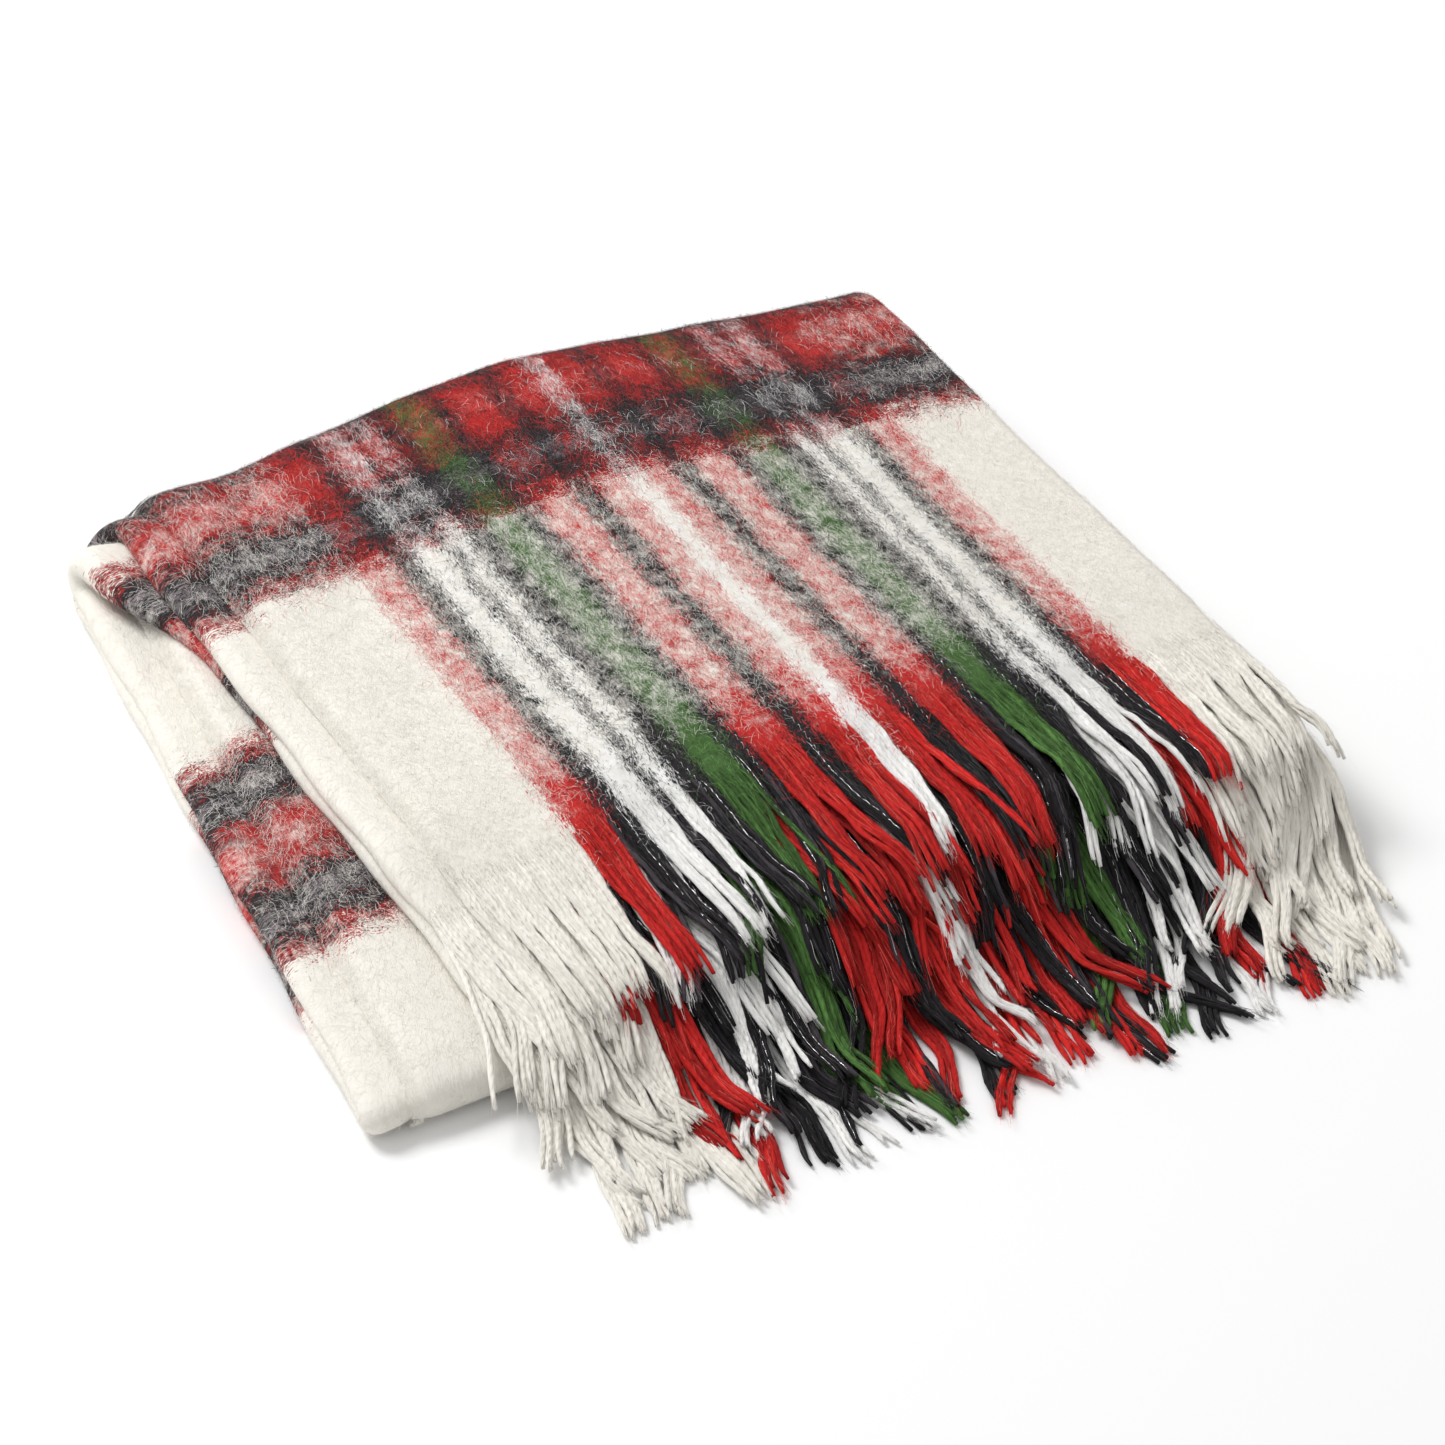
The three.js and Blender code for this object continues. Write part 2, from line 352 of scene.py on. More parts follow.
def sett_ramp(tree, pattern, share):
    """A pattern of yarns as a colour ramp from 0 to 1. Alpha holds how much of the yarn shows."""
    ramp = tree.nodes.new("ShaderNodeValToRGB").color_ramp
    ramp.interpolation = "CONSTANT"
    total = sum(wide for _, wide in pattern)
    at = 0
    for i, (yarn, wide) in enumerate(pattern):
        stop = ramp.elements[i] if i < 2 else ramp.elements.new(at / total)
        stop.position = at / total
        stop.color = (*BLEND[yarn], share.get(yarn, 0))
        at += wide
    return tree.nodes[-1]


def math_node(tree, op, a, b=None, c=None):
    """A maths node of sockets or numbers, and its result."""
    node = tree.nodes.new("ShaderNodeMath")
    node.operation = op
    for socket, value in zip(node.inputs, (a, b, c)):
        if value is None:
            continue
        if isinstance(value, (int, float)):
            socket.default_value = value
        else:
            tree.links.new(value, socket)
    return node.outputs[0]


def flat_node(tree):
    """The flat UV map, whole and split: across and along the cloth, or round and along a yarn."""
    uv = tree.nodes.new("ShaderNodeUVMap")
    uv.uv_map = "flat"
    split = tree.nodes.new("ShaderNodeSeparateXYZ")
    tree.links.new(uv.outputs[0], split.inputs[0])
    return uv.outputs[0], split


def relief(tree, height, strength, distance):
    """Fine relief on the material's shader."""
    bump = tree.nodes.new("ShaderNodeBump")
    bump.inputs["Strength"].default_value = strength
    bump.inputs["Distance"].default_value = distance
    tree.links.new(height, bump.inputs["Height"])
    tree.links.new(bump.outputs[0], tree.nodes["Principled BSDF"].inputs["Normal"])


def noise(tree, flat, across, along, detail, rough, seed):
    """Noise about zero over the flat cloth, in grains of about this size across and along it."""
    place_of = tree.nodes.new("ShaderNodeCombineXYZ")
    tree.links.new(math_node(tree, "MULTIPLY", flat.outputs[0], 1 / across), place_of.inputs[0])
    tree.links.new(math_node(tree, "MULTIPLY", flat.outputs[1], 1 / along), place_of.inputs[1])
    place_of.inputs[2].default_value = seed
    grain = tree.nodes.new("ShaderNodeTexNoise")
    grain.inputs["Scale"].default_value = 1.0
    grain.inputs["Detail"].default_value = detail
    grain.inputs["Roughness"].default_value = rough
    tree.links.new(place_of.outputs[0], grain.inputs["Vector"])
    return math_node(tree, "SUBTRACT", grain.outputs["Fac"], 0.5)


def noises(tree, flat, grains):
    return [(noise(tree, flat, *grain), weight) for grain, weight in grains]


def weighted_sum(tree, *terms):
    """The sum of sockets, each with its weight."""
    total = None
    for socket, weight in terms:
        part = socket if weight == 1 else math_node(tree, "MULTIPLY", socket, weight)
        total = part if total is None else math_node(tree, "ADD", total, part)
    return total


def mixed(tree, factor, a, b):
    """Colour a turning into colour b as the factor goes from 0 to 1."""
    mix = tree.nodes.new("ShaderNodeMix")
    mix.data_type = "RGBA"
    mix.clamp_factor = True
    tree.links.new(factor, mix.inputs[0])
    tree.links.new(a, mix.inputs[6])
    tree.links.new(b, mix.inputs[7])
    return mix.outputs[2]


# Noise over the flat cloth: ((grain across, grain along, detail, roughness, seed), weight)
SHARE_NOISE = (((0.0008, 0.0050, 3, 0.7, 1.0), 1.8), ((0.009, 0.012, 3, 0.55, 2.0), 2.2))
FRAY_ACROSS = (((0.006, 0.020, 3, 0.6, 3.0), 0.018), ((0.0007, 0.0045, 2, 0.7, 4.0), 0.030))
FRAY_ALONG = (((0.016, 0.010, 3, 0.6, 5.0), 0.052), ((0.0016, 0.0009, 2, 0.7, 6.0), 0.060))
# The grain of the painted shade that lies in blotches over the weft bands
SHADE_BLOTCHES = (((0.020, 0.012, 3, 0.65, 8.0), 1), ((0.0009, 0.003, 3, 0.7, 9.0), 0.7))
NAP_RELIEF = (0.0012, 0.005, 3, 0.6, 7.0)
# How far from the fringe the warp starts to show more, and how much more at the end
BARE_END = 0.075
BARE_SHARE = 0.95


def warp_node(tree, flat):
    """The warp stripes, mirrored about each panel's middle, with frayed edges."""
    across = weighted_sum(tree, (flat.outputs[0], 1), *noises(tree, flat, FRAY_ACROSS))
    phase = math_node(tree, "FRACT", math_node(tree, "MULTIPLY", across, 1 / REPEAT))
    mirrored = math_node(tree, "ABSOLUTE", math_node(tree, "MULTIPLY_ADD", phase, 2.0, -1.0))
    warp = sett_ramp(tree, HALF_SETT, WARP_SHARE)
    tree.links.new(math_node(tree, "SUBTRACT", 1.0, mirrored), warp.inputs[0])
    return warp


def weft_node(tree, flat):
    """The weft bands, mirrored about their middles, with frayed edges and cream between them."""
    along = weighted_sum(tree, (flat.outputs[1], 1), *noises(tree, flat, FRAY_ALONG))
    from_first = math_node(tree, "SUBTRACT", along, FIRST_BAND - BAND_REPEAT / 2)
    bands = math_node(tree, "DIVIDE", from_first, BAND_REPEAT)
    in_bands = math_node(tree, "MINIMUM", math_node(tree, "MAXIMUM", bands, 0.001), BANDS - 0.001)
    off_middle = math_node(tree, "SUBTRACT", math_node(tree, "FRACT", in_bands), 0.5)
    away = math_node(tree, "ABSOLUTE", off_middle)
    halves = math_node(tree, "MULTIPLY", away, BAND_REPEAT / HALF_BAND_WIDTH)
    weft = sett_ramp(tree, (("cream", 0.001),) + HALF_BAND, COVER)
    tree.links.new(math_node(tree, "SUBTRACT", 1.0, halves), weft.inputs[0])
    return weft


def plaid_colour(tree, flat):
    """Warp over weft. A band hides some of the warp, and blotches of painted shade, mixed towards black, lie
    over the bands.
    """
    warp = warp_node(tree, flat)
    weft = weft_node(tree, flat)
    along = flat.outputs[1]
    from_end = math_node(tree, "MINIMUM", along, math_node(tree, "SUBTRACT", LENGTH, along))
    bare = math_node(tree, "MAXIMUM", 0.0, math_node(tree, "MULTIPLY_ADD", from_end, -1 / BARE_END, 1.0))
    share = weighted_sum(tree, (warp.outputs[1], 1), (weft.outputs[1], -1.0),
                         *noises(tree, flat, SHARE_NOISE), (bare, BARE_SHARE))
    woven = mixed(tree, share, weft.outputs[0], warp.outputs[0])
    # Painted shade: blotches that mix the weft bands towards black, more where the weft covers more
    shade_blotches = weighted_sum(tree, *noises(tree, flat, SHADE_BLOTCHES))
    shade_depth = math_node(tree, "MULTIPLY_ADD", shade_blotches, 4.2, 0.36)
    painted_shade = math_node(tree, "MULTIPLY", math_node(tree, "MULTIPLY", weft.outputs[1], 3.6), shade_depth)
    black = tree.nodes.new("ShaderNodeRGB")
    black.outputs[0].default_value = (*YARN["black"], 1)
    return mixed(tree, painted_shade, woven, black.outputs[0])


def cloth_material():
    """Brushed plaid, with its colours laid out on the flat cloth so that they run on round every fold."""
    material = bpy.data.materials.new("brushed_plaid")
    material.use_nodes = True
    tree = material.node_tree
    shader = tree.nodes["Principled BSDF"]
    shader.inputs["Roughness"].default_value = 0.95
    _, flat = flat_node(tree)
    tree.links.new(plaid_colour(tree, flat), shader.inputs["Base Color"])
    relief(tree, noise(tree, flat, *NAP_RELIEF), 0.5, 0.0015)
    return material


# The fringe: its yarns' spacing by colour, and how much of each row's length its curl takes up
YARN_PITCH = {"cream": 0.0018, "white": 0.0020, "red": 0.0025, "black": 0.0027, "green": 0.0025}
YARN_RADIUS = 0.00145
YARN_TWIST = 0.006
LOCK = 7
ROOT = 0.030
ROW_CURL = ((0.0, 0.05), (-0.03, 0.05), (-0.07, 0.03), (0.20, 0.40), (0.08, 0.24), (0.0, 0.05))
PANELS = {"top": (0, TOP_PANEL + RIGHT_FOLD / 2), "middle": (TOP_PANEL + RIGHT_FOLD / 2, LEFT_EDGE),
          "inner": (LEFT_EDGE, WIDTH)}
ROWS = (("upper", "top"), ("upper", "inner"), ("upper", "middle"),
        ("lower", "middle"), ("lower", "inner"), ("lower", "top"))


def yarn_at(u):
    """The yarn's colour at a place across the cloth."""
    total = sum(wide for _, wide in HALF_SETT)
    place_in = (1 - abs((u / REPEAT) % 1 * 2 - 1)) * total
    for yarn, wide in HALF_SETT:
        place_in -= wide
        if place_in <= 0:
            return yarn
    return HALF_SETT[-1][0]


def locks(start, end, rng):
    """The row's yarns, in locks of neighbours of one colour: (colour, places across the cloth)."""
    found = []
    u = start
    while u < end:
        yarn = yarn_at(u)
        u += YARN_PITCH[yarn]
        if not found or found[-1][0] != yarn or len(found[-1][1]) >= found[-1][2]:
            found.append((yarn, [], rng.integers(4, LOCK + 2)))
        found[-1][1].append(u - YARN_PITCH[yarn] / 2)
    return [(yarn, np.array(us)) for yarn, us, _ in found]


def lock_paths(us, at_start, row, rng):
    """The middle lines of one lock's yarns, one row of points each."""
    t = np.linspace(0, 1, 28)
    n = len(us)
    curl = rng.uniform(*ROW_CURL[row])
    length = FRINGE * np.clip(1 - curl + 0.035 * rng.normal() + 0.02 * rng.normal(size=(n, 1)), 0.55, 1.10)
    along = (length + ROOT) * t - ROOT
    t = np.clip(along / length, 0, 1)
    gather = rng.uniform(0.15, 0.5) * smooth(t, 0.05, 0.7)
    u = us[:, None] + (us.mean() - us[:, None]) * gather
    v = -along if at_start else LENGTH + along
    root = smooth(along, -ROOT * rng.uniform(0.5, 1.2, (n, 1)), 0.006)
    points = folded(u, v, 0.0015 * root - 0.0010)
    wild = 0.7 + 0.16 * row
    swing = math.sin(points[:, 0, 0].mean() / 0.034 + 2.1 * row) if row else 0.3
    drift = 0.0055 * wild * rng.normal() + 0.011 * swing - 0.003
    drift = drift - 0.012 * smooth(points[:, 0, 0].mean(), 0.1, HALF)
    hook = 0.005 * wild * rng.normal()
    wave = 0.0004 * np.sin(along / rng.uniform(0.004, 0.007) + rng.uniform(0, 6.3, (n, 1)))
    points[..., 0] += (drift * t**1.6 + hook * smooth(t, 0.6, 1) + wave * smooth(t, 0, 0.2))
    points[..., 0] += 0.0016 * rng.normal(size=(n, 1)) * t**2
    points[..., 2] += 0.0005 * np.sin(along / rng.uniform(0.004, 0.008) + rng.uniform(0, 6.3, (n, 1)))
    points[..., 2] += (0.0012 * rng.normal() + 0.0009 * rng.normal(size=(n, 1))) * t**1.5
    points[..., 2] += rng.uniform(0, 0.0045 if row == 0 else 0.0015) * smooth(t, 0.15, 0.7)
    points[..., 2] = np.maximum(points[..., 2], YARN_RADIUS)
    return points


def frames(points):
    """Each point's direction along its line, and the two square to it."""
    tangent = np.gradient(points, axis=-2)
    tangent /= np.linalg.norm(tangent, axis=-1, keepdims=True)
    side = np.cross(tangent, (0, 0.12, 1))
    side /= np.linalg.norm(side, axis=-1, keepdims=True)
    return tangent, side, np.cross(side, tangent)


SIDES = 6


def tubes(points, radius, sides=SIDES):
    """Closed tubes around many middle lines of the same number of points."""
    _, side, up = frames(points)
    n, rings = points.shape[:2]
    angle = np.arange(sides) * 2 * math.pi / sides
    radius = np.broadcast_to(radius, (n, rings))[..., None, None]
    ring = side[:, :, None] * np.cos(angle)[:, None] + up[:, :, None] * np.sin(angle)[:, None]
    verts = points[:, :, None] + radius * ring
    k, i, j = np.meshgrid(np.arange(n), np.arange(rings - 1), np.arange(sides), indexing="ij")
    a = (k * rings + i) * sides + j
    b = (k * rings + i) * sides + (j + 1) % sides
    walls = np.stack([a, b, b + sides, a + sides], -1).reshape(-1, 4)
    first = (np.arange(n) * rings * sides)[:, None] + np.arange(sides)[::-1]
    last = first[:, ::-1] + (rings - 1) * sides
    return verts.reshape(-1, 3), walls, np.concatenate([first, last])


# Each yarn's lighter and darker strands, partly tone that differs at random and partly painted light and
# painted shade between strands, and its loose fibres
TONES_AND_PAINTED_SHADE = {
    "cream": (0.96, 1.03, 1.08),
    "white": (0.92, 1.0, 1.05),
    "red": (0.60, 1.0, 1.30),
    "black": (0.55, 1.0, 4.0),
    "green": (0.60, 1.0, 1.60),
}
FUZZ = {
    "cream": (0.90, 0.885, 0.85),
    "red": (0.78, 0.13, 0.10),
    "black": (0.10, 0.095, 0.10),
    "white": (0.91, 0.90, 0.89),
    "green": (0.16, 0.33, 0.10),
}
BRIGHTEST = 0.93
SHADES_EACH = 4
YARN_ODDS = (0.35, 0.52, 0.13, 0.0)
HAIR_ODDS = (0.30, 0.34, 0.15, 0.21)


def yarn_materials():
    """Three tones of each yarn's colour, lightest to most shaded between neighbouring yarns: partly tone
    that differs at random, partly painted light and painted shade between strands.
    """
    made = {}
    for yarn, colour in YARN.items():
        made[yarn] = []
        for i, shade in enumerate(TONES_AND_PAINTED_SHADE[yarn]):
            tone = tuple(min(BRIGHTEST, c * shade) for c in colour)
            made[yarn].append(yarn_look(f"{yarn}_yarn_{i}", tone))
        made[yarn].append(yarn_look(f"{yarn}_fuzz", FUZZ[yarn]))
    return made


def yarn_look(name, colour):
    """Fuzzy spun yarn: matt, two plies twisted together, with the fine relief of their fibres."""
    material = plain_material(name, colour)
    tree = material.node_tree
    shader = tree.nodes["Principled BSDF"]
    shader.inputs["Specular IOR Level"].default_value = 0.25
    whole, flat = flat_node(tree)
    along = math_node(tree, "MULTIPLY", flat.outputs[1], 2 * math.pi / YARN_TWIST)
    turn = math_node(tree, "MULTIPLY_ADD", flat.outputs[0], 4 * math.pi, along)
    plies = math_node(tree, "SINE", turn)
    streak = tree.nodes.new("ShaderNodeVectorMath")
    streak.operation = "MULTIPLY"
    streak.inputs[1].default_value = (9, 260, 1)
    tree.links.new(whole, streak.inputs[0])
    grain = tree.nodes.new("ShaderNodeTexNoise")
    grain.inputs["Scale"].default_value = 1.0
    grain.inputs["Detail"].default_value = 3
    tree.links.new(streak.outputs[0], grain.inputs["Vector"])
    height = math_node(tree, "MULTIPLY_ADD", plies, 0.22, grain.outputs["Fac"])
    relief(tree, height, 0.8, 0.0009)
    return material


def coloured_piece(name, yarn, verts, faces, shade_of_face, materials, flat=None):
    """A piece of one yarn's colour, with its tones face by face: partly random tone, partly painted light
    and painted shade.
    """
    mesh = bpy.data.meshes.new(name)
    mesh.from_pydata(verts.tolist(), [], faces)
    if flat is not None:
        add_flat(mesh, flat)
    for material in materials[yarn]:
        mesh.materials.append(material)
    mesh.polygons.foreach_set("material_index", shade_of_face)
    piece = link(name, mesh)
    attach(piece, "root")
    return piece


def yarn_piece(name, yarn, paths, materials, rng):
    """One row's yarns of one colour, as closed tubes."""
    t = np.linspace(0, 1, paths.shape[1])
    along = t * (FRINGE + ROOT) - ROOT
    radius = YARN_RADIUS * (1 - 0.35 * smooth(t, 0.9, 1)) * (0.4 + 0.6 * smooth(along, -ROOT, 0.012))
    radius = radius * (1 + 0.12 * np.sin(t * 45 + rng.uniform(0, 6.3, (len(paths), 1))))
    verts, walls, caps = tubes(place(paths), radius)
    n = len(paths)
    # Each strand takes one tone: partly random tone, partly painted light and painted shade between strands
    shade = rng.choice(SHADES_EACH, n, p=YARN_ODDS)
    shades = np.concatenate([np.repeat(shade, len(walls) // n), shade, shade])
    flat = np.empty((n, len(t), SIDES, 2))
    flat[..., 0] = np.arange(SIDES) / SIDES + rng.random((n, 1, 1))
    flat[..., 1] = (t * (FRINGE + ROOT))[:, None]
    return coloured_piece(name, yarn, verts, walls.tolist() + caps.tolist(), shades, materials, flat)


def ribbons(points, normals, width):
    """Thin fibres: one strip of quads along each row of points."""
    tangent = np.gradient(points, axis=-2)
    side = np.cross(tangent, normals)
    side /= np.linalg.norm(side, axis=-1, keepdims=True) + 1e-12
    n, count = points.shape[:2]
    taper = np.linspace(1, 0.35, count)[:, None] * width / 2
    verts = np.stack([points - side * taper, points + side * taper], 2).reshape(-1, 3)
    k, i = np.meshgrid(np.arange(n), np.arange(count - 1), indexing="ij")
    a = (k * count + i) * 2
    faces = np.stack([a, a + 1, a + 3, a + 2], -1).reshape(-1, 4)
    return verts, faces


HAIR_QUADS = 4
HAIRS_ON_TOP = 64
HAIRS_UNDER = 36
HAIR_WIDTH = 0.00022


def fringe_hair(paths, per_yarn, rng):
    """Fine fibres along the yarns. Some stand off them, most of those near the cut ends."""
    n, rings = paths.shape[:2]
    owner = np.repeat(np.arange(n), per_yarn)
    m = len(owner)
    loose = rng.random(m) < 0.3
    near_tip = loose & (rng.random(m) < 0.4)
    start = np.where(near_tip, rng.uniform(0.8, 0.97, m), rng.uniform(0.02, 0.85, m))
    span = np.where(loose, rng.uniform(0.06, 0.16, m), rng.uniform(0.1, 0.3, m))
    step = np.linspace(0, 1, HAIR_QUADS + 1)
    at = np.minimum(start[:, None] + span[:, None] * step, 1.06) * (rings - 1)
    low = np.clip(at.astype(int), 0, rings - 2)
    part = (at - low)[..., None]
    points = paths[owner[:, None], low] * (1 - part) + paths[owner[:, None], low + 1] * part
    away = rng.normal(size=(m, 1, 3))
    away[..., 1] *= 0.3
    away /= np.linalg.norm(away, axis=-1, keepdims=True)
    away[..., 2] = np.abs(away[..., 2])
    rise = np.where(loose, rng.uniform(0.0006, 0.0035, m), rng.uniform(0, 0.0005, m))
    reach = YARN_RADIUS + rise[:, None] * step**1.3
    points = points + away * reach[..., None] + 0.0003 * rng.normal(size=points.shape)
    points[..., 2] = np.maximum(points[..., 2], 0.0004)
    return ribbons(place(points), np.broadcast_to(away, points.shape), HAIR_WIDTH)


SILVER_POINTS = 120
SILVER_RADIUS = 0.00016
SILVER_ODDS = 0.13
SILVER_SPACING = 0.0075


def silver_paths(paths, rng):
    """Metallic threads that run along a few of the black yarns and dip into them again and again."""
    chosen = paths[rng.random(len(paths)) < SILVER_ODDS]
    share = np.linspace(0, 0.97, SILVER_POINTS)
    at = share * (paths.shape[1] - 1)
    low = at.astype(int)
    part = (at - low)[:, None]
    middle = chosen[:, low] * (1 - part) + chosen[:, low + 1] * part
    _, side, up = frames(middle)
    n = len(chosen)
    out = 0.97 + 0.15 * np.sin(share * 130 + rng.uniform(0, 6.3, (n, 1)) + 2 * np.sin(share * 17))
    lean = rng.uniform(-0.7, 0.7, (n, 1)) + 0.25 * np.sin(share * 9 + rng.uniform(0, 6.3, (n, 1)))
    turned = side * np.sin(lean)[..., None] + up * np.cos(lean)[..., None]
    wound = middle + YARN_RADIUS * out[..., None] * turned
    wound[..., 2] = np.maximum(wound[..., 2], SILVER_RADIUS)
    return wound


def silver_on_cloth(rng):
    """The same threads where they run along the black stripes of the top panel."""
    places = np.arange(0.001, TOP_PANEL, SILVER_SPACING)
    places = np.array([u for u in places if yarn_at(u) == "black"])
    v = np.linspace(-0.004, 0.28, 260)
    phase = rng.uniform(0, 6.3, (len(places), 1))
    weave = 0.0011 * np.sin(v / 0.0010 + phase + 2 * np.sin(v / 0.011)) - 0.0006
    weave = weave - 0.0006 * smooth(v, 0.02, 0.12)
    sway = 0.0008 * np.sin(v / 0.013 + phase)
    return folded(places[:, None] + sway, v, CLOTH / 2 + weave)


def silver_piece(groups):
    """All metallic thread as one piece, in thin closed tubes."""
    verts = []
    faces = []
    at = 0
    for paths in groups:
        v, walls, caps = tubes(place(paths), SILVER_RADIUS, 4)
        verts.append(v)
        faces += (walls + at).tolist() + (caps + at).tolist()
        at += len(v)
    mesh = bpy.data.meshes.new("silver_thread")
    mesh.from_pydata(np.concatenate(verts).tolist(), [], faces)
    mesh.materials.append(silver_look())
    piece = link("silver_thread", mesh)
    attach(piece, "root")
    return piece


def silver_look():
    """Metal that glints here and there along its length."""
    material = plain_material("silver_thread_look", (0.86, 0.86, 0.88))
    tree = material.node_tree
    shader = tree.nodes["Principled BSDF"]
    shader.inputs["Metallic"].default_value = 0.9
    place_of = tree.nodes.new("ShaderNodeTexCoord")
    glint = tree.nodes.new("ShaderNodeTexNoise")
    glint.inputs["Scale"].default_value = 700
    tree.links.new(place_of.outputs["Object"], glint.inputs["Vector"])
    rough = math_node(tree, "MULTIPLY_ADD", glint.outputs["Fac"], 0.4, 0.05)
    tree.links.new(rough, shader.inputs["Roughness"])
    return material


def make_fringe(materials):
    """Six rows of yarns from the top of the pack to the floor, then their loose hairs and the silver."""
    rng = np.random.default_rng(7)
    made = []
    hair = {yarn: [] for yarn in YARN}
    silver = [silver_on_cloth(rng)]
    for row, (end, panel) in enumerate(ROWS):
        by_yarn = {}
        for yarn, us in locks(*PANELS[panel], rng):
            by_yarn.setdefault(yarn, []).append(lock_paths(us, end == "upper", row, rng))
        for yarn, paths in by_yarn.items():
            paths = np.concatenate(paths)
            made.append(yarn_piece(f"fringe_{end}_{panel}_{yarn}", yarn, paths, materials, rng))
            hair[yarn].append(fringe_hair(paths, HAIRS_UNDER if row else HAIRS_ON_TOP, rng))
            if yarn == "black":
                silver.append(silver_paths(paths, rng))
    for yarn, parts in hair.items():
        made.append(fibre_piece(f"fringe_hair_{yarn}", yarn, parts, materials, rng, HAIR_QUADS))
    made.append(silver_piece(silver))
    return made


def fibre_piece(name, yarn, parts, materials, rng, quads):
    """Loose fibres of one colour as one piece. Each has its own tone, partly random and partly painted light
    and painted shade.
    """
    at = 0
    verts = []
    faces = []
    for v, f in parts:
        verts.append(v)
        faces.append(f + at)
        at += len(v)
    faces = np.concatenate(faces)
    shades = np.repeat(rng.choice(SHADES_EACH, len(faces) // quads + 1, p=HAIR_ODDS), quads)
    verts = np.concatenate(verts)
    return coloured_piece(name, yarn, verts, faces.tolist(), shades[:len(faces)], materials)


NAP_AREAS = {
    # fibres, across from and to, along from and to
    "top_left": (62000, -0.001, 0.22, -0.03, MARKS[2]),
    "top_right": (63000, 0.22, TOP_PANEL + RIGHT_FOLD, -0.03, MARKS[2]),
    "selvedge": (9000, -0.001, 0.004, 0.0, LENGTH),
    "lower_side": (15000, 0.0, 0.09, MARKS[3], MARKS[5]),
    "right_fold": (7000, TOP_PANEL, TOP_PANEL + RIGHT_FOLD, MARKS[2], LENGTH),
    "left_fold": (30000, LEFT_EDGE - 0.03, LEFT_EDGE + 0.022, 0.0, LENGTH),
}
NAP_QUADS = 3
NAP_WIDTH = 0.00015


def warp_colours(u):
    """The warp yarn at many places across the cloth."""
    total = sum(wide for _, wide in HALF_SETT)
    where = (1 - np.abs((u / REPEAT) % 1 * 2 - 1)) * total
    index = np.searchsorted(np.cumsum([wide for _, wide in HALF_SETT]), where)
    return np.array([yarn for yarn, _ in HALF_SETT])[np.clip(index, 0, len(HALF_SETT) - 1)]


def weft_colours(v):
    """The weft yarn at many places along the cloth."""
    number = np.clip(np.round((v - FIRST_BAND) / BAND_REPEAT), 0, BANDS - 1)
    inside = (HALF_BAND_WIDTH - np.abs(v - FIRST_BAND - number * BAND_REPEAT)) * 1000
    index = np.searchsorted(np.cumsum([wide for _, wide in HALF_BAND]), np.maximum(inside, 0))
    found = np.array([yarn for yarn, _ in HALF_BAND])[np.clip(index, 0, len(HALF_BAND) - 1)]
    return np.where(inside > 0, found, "cream")


def nap_colours(u, v, rng):
    """Each fibre's yarn: warp or weft, picked up to a few millimetres away from where it lies."""
    count = len(u)
    warp = warp_colours(u + 0.0036 * rng.normal(size=count))
    weft = weft_colours(v + 0.007 * rng.normal(size=count))
    end = np.minimum(v, LENGTH - v)
    share = np.vectorize(WARP_SHARE.get)(warp) + 0.75 * (1 - smooth(end, -0.02, 0.075))
    share = share - 1.4 * np.vectorize(lambda name: COVER.get(name, 0))(weft)
    chance = rng.random(count)
    weft = np.where(weft == "crimson", np.where(chance < 0.34, "black", "red"), weft)
    weft = np.where(weft == "rose", np.where(chance < 0.18, "white", "red"), weft)
    weft = np.where(weft == "grey", np.where(chance < 0.28, "white", "black"), weft)
    return np.where(rng.random(count) < share, warp, weft)


def nap_fibres(u, v, rng):
    """The middle lines of the fibres that lie on the cloth at u and v, and which way is out."""
    count = len(u)
    step = np.linspace(0, 1, NAP_QUADS + 1)
    heading = rng.normal(0, 0.55, count) + np.where(rng.random(count) < 0.5, 0, math.pi)
    angle = heading[:, None] + rng.normal(0, 1.0, count)[:, None] * step
    length = rng.uniform(0.004, 0.012, (count, 1)) / (NAP_QUADS + 1)
    across = np.cumsum(np.sin(angle), 1) * length
    along = np.cumsum(np.cos(angle), 1) * length
    tall = rng.uniform(0.0002, 0.0009, (count, 1)) + 0.0013 * (rng.random((count, 1)) < 0.1)
    at_u = np.maximum(u[:, None] + across - across.mean(1, keepdims=True), -0.0015)
    at_v = v[:, None] + along - along.mean(1, keepdims=True)
    height = CLOTH / 2 + 0.0001 + tall * np.sin(math.pi * step * 0.85) + puff(np.maximum(at_u, 0), at_v)
    points = folded(at_u, at_v, height)
    normals = folded(at_u, at_v, height + 0.001) - points
    points[..., 2] = np.maximum(points[..., 2], 0.0004)
    return points, normals


def make_nap(materials):
    """The brushed pile: fine fibres that lie over the cloth and carry its colours across the stripes."""
    rng = np.random.default_rng(11)
    made = []
    for area, (count, u0, u1, v0, v1) in NAP_AREAS.items():
        u = rng.uniform(u0, u1, count)
        v = rng.uniform(v0, v1, count)
        kept = rng.random(count) < 0.3 + 0.7 * smooth(np.minimum(v, LENGTH - v), -0.02, 0.05)
        u, v = u[kept], v[kept]
        colour = nap_colours(u, v, rng)
        points, normals = nap_fibres(u, v, rng)
        for yarn in YARN:
            chosen = colour == yarn
            if chosen.any():
                strips = ribbons(place(points[chosen]), normals[chosen], NAP_WIDTH)
                made.append(fibre_piece(f"nap_{area}_{yarn}", yarn, [strips], materials, rng, NAP_QUADS))
    return made


FLOOR_HALF = 6.0
SKY = 0.62
KEY_POWER = 78
KEY_SIZE = 1.4
KEY_AT = (-1.1, 1.7, 2.6)


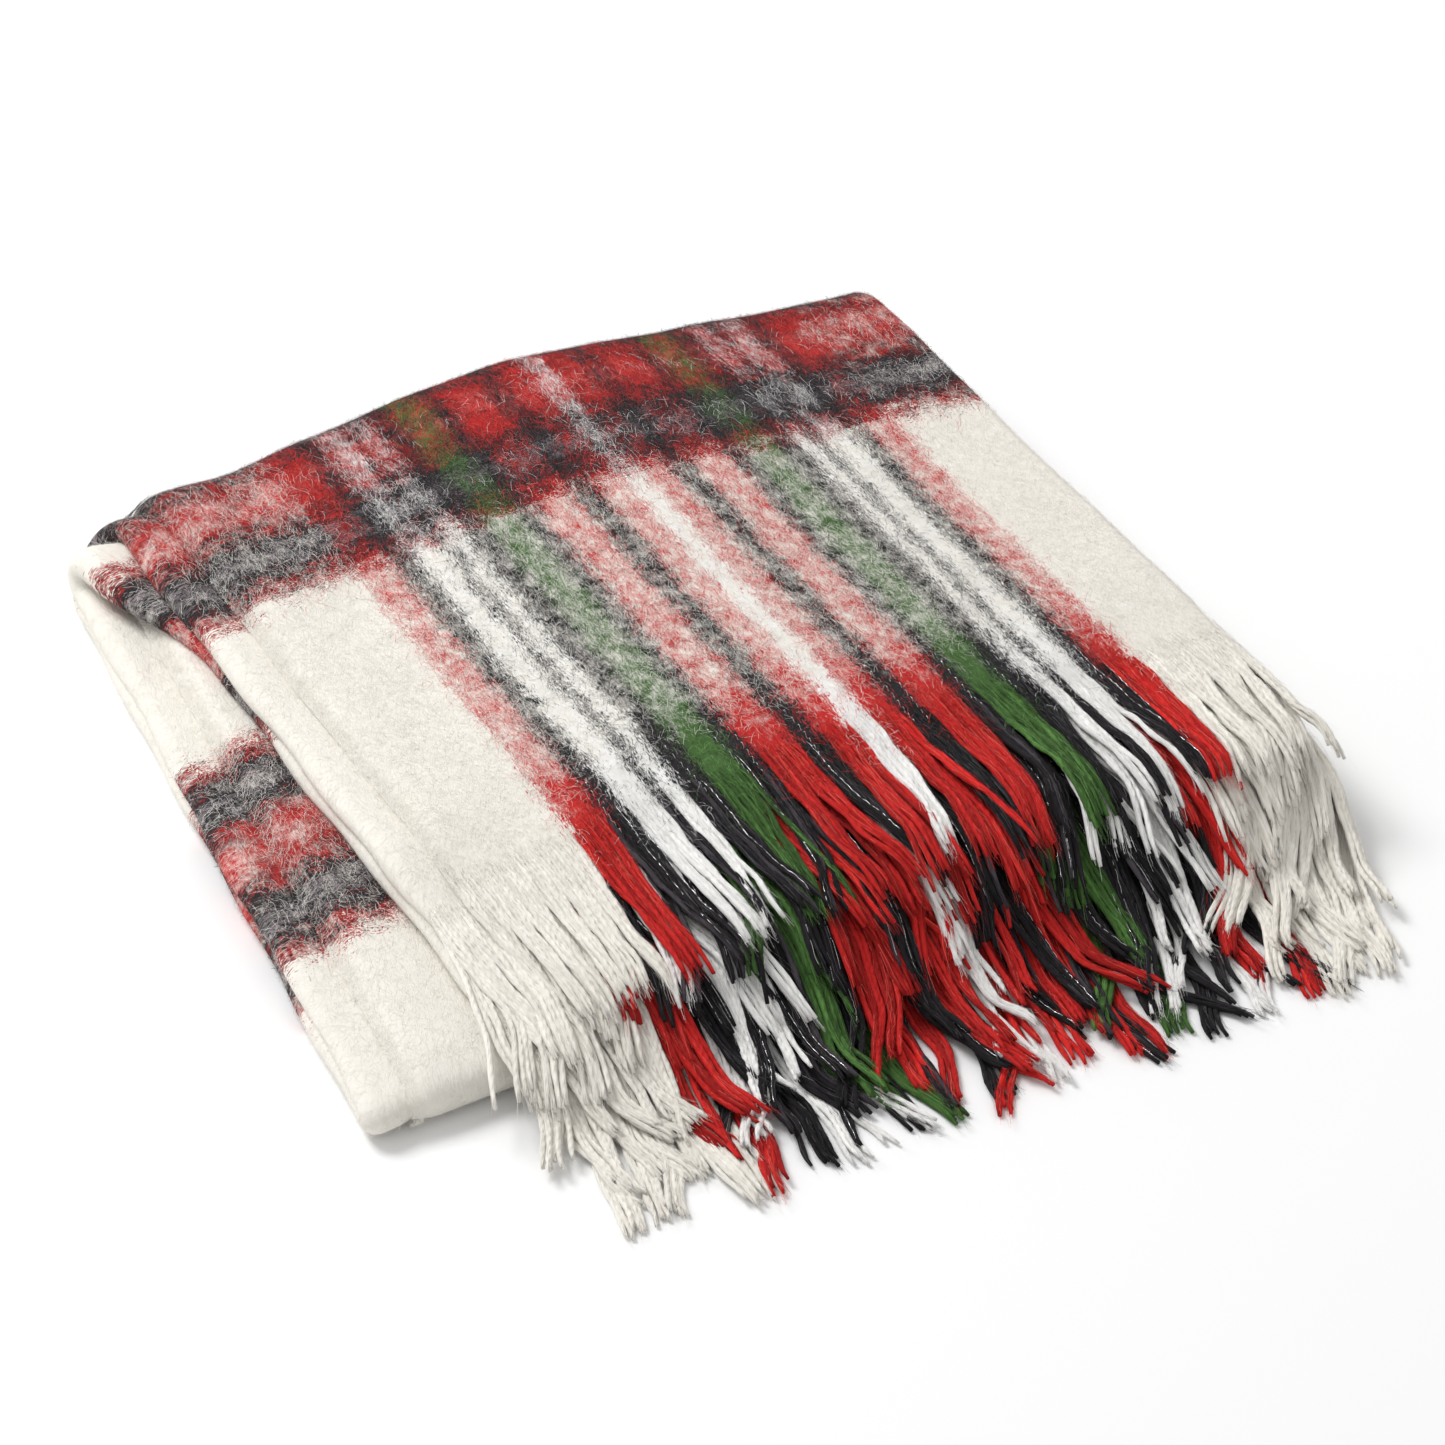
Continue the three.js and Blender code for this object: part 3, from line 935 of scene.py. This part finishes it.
def stage():
    """A pale floor, an even sky and one large soft lamp behind on the left."""
    mesh = bpy.data.meshes.new("floor")
    s = FLOOR_HALF
    mesh.from_pydata([(-s, -s, 0), (s, -s, 0), (s, s, 0), (-s, s, 0)], [], [(0, 1, 2, 3)])
    floor = bpy.data.objects.new("floor", mesh)
    bpy.context.scene.collection.objects.link(floor)
    material = plain_material("pale_floor", (0.93, 0.93, 0.93))
    floor.data.materials.append(material)
    floor.location.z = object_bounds()[0][2] - 0.0002
    floor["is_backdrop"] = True
    world = bpy.data.worlds.new("studio")
    world.use_nodes = True
    world.node_tree.nodes["Background"].inputs[0].default_value = (1, 1, 1, 1)
    world.node_tree.nodes["Background"].inputs[1].default_value = SKY
    bpy.context.scene.world = world
    bpy.context.scene.view_settings.view_transform = "Standard"
    lamp = bpy.data.lights.new("key", "AREA")
    lamp.energy = KEY_POWER
    lamp.size = KEY_SIZE
    key = bpy.data.objects.new("key", lamp)
    key.location = KEY_AT
    key.rotation_euler = look(key.location, (0, 0, 0))
    bpy.context.scene.collection.objects.link(key)


def look(eye, target):
    """The turn that points a camera or a lamp from one place at another."""
    return (Vector(target) - Vector(eye)).to_track_quat("-Z", "Y").to_euler()


AZIMUTH = math.radians(-28.3)
ELEVATION = math.radians(35.7)
DISTANCE = 2.76372
LENS = 140.4
PACK_MIDDLE = (0, -0.2354, 0.0256)
AIM_RIGHT = -0.0108
AIM_UP = -0.0101


def camera():
    """A long lens, from the front left and above."""
    level = math.cos(ELEVATION)
    back = np.array([math.sin(AZIMUTH) * level, -math.cos(AZIMUTH) * level, math.sin(ELEVATION)])
    right = np.cross(-back, (0, 0, 1))
    right /= np.linalg.norm(right)
    up = np.cross(right, -back)
    aim = place(np.array(PACK_MIDDLE)) + right * AIM_RIGHT + up * AIM_UP
    eye = aim + back * DISTANCE
    data = bpy.data.cameras.new("camera")
    data.lens = LENS
    data.sensor_width = 36
    data.clip_end = 20
    made = bpy.data.objects.new("camera", data)
    made.location = eye
    made.rotation_euler = look(eye, aim)
    bpy.context.scene.collection.objects.link(made)
    bpy.context.scene.camera = made


cloth = make_cloth()
materials = yarn_materials()
fringe = make_fringe(materials) + make_nap(materials)
for piece in fringe:
    nodes = [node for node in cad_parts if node.startswith(piece.name + "_")]
    if nodes:
        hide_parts(*nodes)
stage()
camera()
